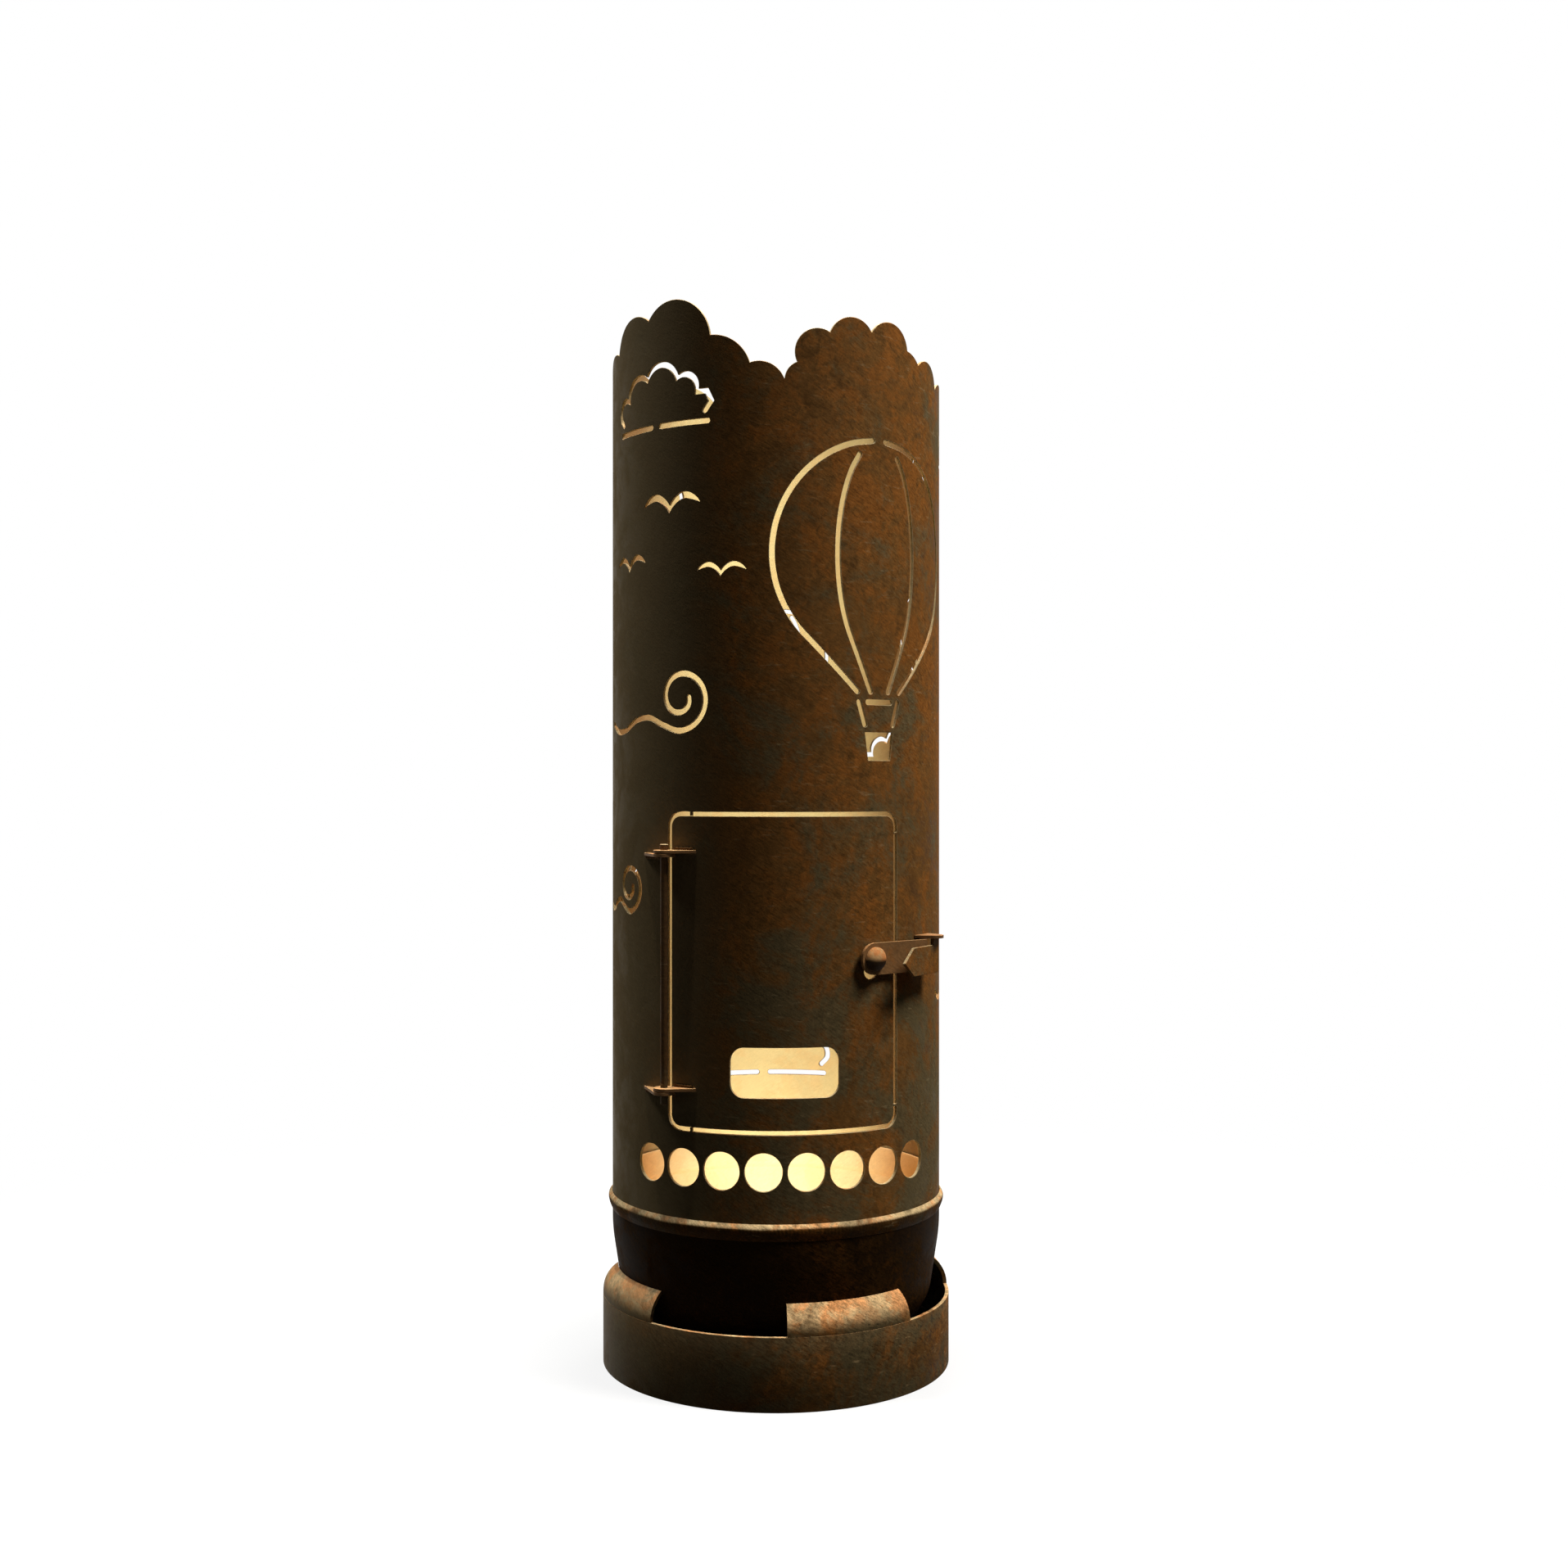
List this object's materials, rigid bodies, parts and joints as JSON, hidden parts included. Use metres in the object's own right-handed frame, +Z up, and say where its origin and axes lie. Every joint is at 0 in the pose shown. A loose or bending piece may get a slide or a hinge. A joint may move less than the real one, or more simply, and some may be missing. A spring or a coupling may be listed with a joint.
{
  "type": "fire barrel",
  "caption": "Tall round steel fire barrel with a scalloped rim, cut-out sky motifs, air holes, a latched curved door on a hinge rod, a dished bottom and a foot ring.",
  "frame": {"origin": "centre of the foot ring's underside, where the barrel stands on the ground", "axes": "+Z up along the barrel, -Y out through the door, +X to the right as one faces the door"},
  "size_m": [0.3362, 0.3362, 0.998],
  "materials": {
    "wall_steel": "dark scale with patches of rust, matt",
    "door_steel": "dark scale turning to brown rust, matt",
    "foot_steel": "brown rust with grey patches, matt",
    "weld_steel": "rippled weld metal, lightly rusted",
    "hinge_steel": "grey-brown mill finish, satin",
    "latch_steel": "grey-brown mill finish, satin"
  },
  "bodies": {
    "barrel": {"barrel_shell": "wall_steel", "bottom_dish": "wall_steel", "girth_weld": "weld_steel", "foot_ring": "foot_steel", "foot_ring_weld_1": "weld_steel", "foot_ring_weld_2": "weld_steel", "foot_ring_weld_3": "weld_steel", "foot_ring_weld_4": "weld_steel", "shell_ear_upper": "hinge_steel", "shell_ear_lower": "hinge_steel", "shell_ear_weld_upper": "weld_steel", "shell_ear_weld_lower": "weld_steel", "hinge_rod": "hinge_steel", "keeper_ear": "latch_steel", "keeper_ear_weld": "weld_steel", "keeper_hook": "latch_steel"},
    "door": {"door_panel": "door_steel", "door_ear_upper": "hinge_steel", "door_ear_lower": "hinge_steel", "door_ear_weld_upper": "weld_steel", "door_ear_weld_lower": "weld_steel", "latch_bolt": "latch_steel", "latch_spacer": "latch_steel", "latch_inner_washer": "latch_steel", "latch_nut": "latch_steel"},
    "latch": {"latch_arm": "latch_steel"}
  },
  "joints": [
    {"name": "door_hinge", "type": "hinge", "parent": "barrel", "child": "door", "pos_m": [-0.10813, -0.13053, 0.388], "axis": [0, 0, -1], "range_deg": [0, 170]},
    {"name": "latch_pivot", "type": "hinge", "parent": "door", "child": "latch", "pos_m": [0.08199, -0.14251, 0.4], "axis": [-0.5822, 0.8131, 0], "range_deg": [0, 90]}
  ]
}
